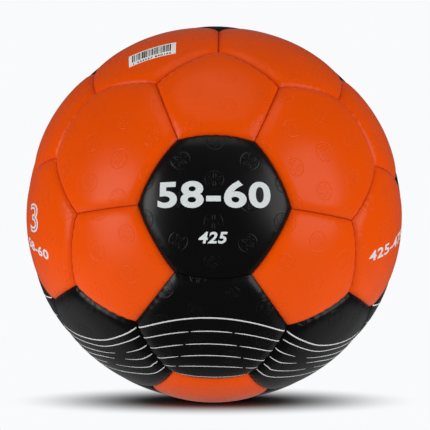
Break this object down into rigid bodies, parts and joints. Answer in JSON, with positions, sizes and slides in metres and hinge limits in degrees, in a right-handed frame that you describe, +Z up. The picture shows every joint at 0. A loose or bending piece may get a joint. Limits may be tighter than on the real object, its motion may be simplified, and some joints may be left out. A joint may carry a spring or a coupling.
{
  "type": "handball",
  "caption": "Hand-stitched handball with orange and black pentagon and hexagon panels over foam, textile lining and an air bladder with a needle valve.",
  "frame": {"origin": "centre of the ball", "axes": "+Z up as the ball lies, -Y out through the front of the ball, tilted as in the picture, +X to the right seen from the front"},
  "size_m": [0.1878, 0.188, 0.188],
  "materials": {
    "orange_cover": "satin",
    "black_cover": "satin",
    "foam": "matte",
    "lining": "matte",
    "thread": "matte",
    "rubber": "satin",
    "label": "satin"
  },
  "bodies": {
    "root": {"upper_front_pentagon": "orange_cover", "left_front_pentagon": "orange_cover", "right_front_pentagon": "orange_cover", "upper_right_front_hexagon": "orange_cover", "upper_left_front_hexagon": "orange_cover", "top_left_hexagon": "orange_cover", "top_right_hexagon": "orange_cover", "left_hexagon": "orange_cover", "right_hexagon": "orange_cover", "upper_left_pentagon": "orange_cover", "upper_right_pentagon": "orange_cover", "bottom_pentagon": "orange_cover", "rear_left_hexagon": "orange_cover", "rear_upper_hexagon": "orange_cover", "rear_lower_left_hexagon": "orange_cover", "rear_lower_right_hexagon": "orange_cover", "rear_left_pentagon": "orange_cover", "rear_right_pentagon": "orange_cover", "front_hexagon": "black_cover", "lower_front_hexagon": "black_cover", "lower_left_hexagon": "black_cover", "lower_right_hexagon": "black_cover", "top_pentagon": "black_cover", "lower_left_pentagon": "black_cover", "lower_right_pentagon": "black_cover", "rear_upper_left_hexagon": "black_cover", "rear_upper_right_hexagon": "black_cover", "rear_right_hexagon": "black_cover", "rear_bottom_left_hexagon": "black_cover", "rear_bottom_right_hexagon": "black_cover", "rear_lower_pentagon": "black_cover", "valve_hexagon": "black_cover", "hexagon_foam_pads": "foam", "pentagon_foam_pads": "foam", "valve_foam_pad": "foam", "hexagon_linings": "lining", "pentagon_linings": "lining", "valve_lining": "lining", "seam_threads": "thread", "bladder": "rubber", "valve_sleeve": "rubber", "valve_core": "rubber", "price_label": "label"}
  },
  "joints": []
}
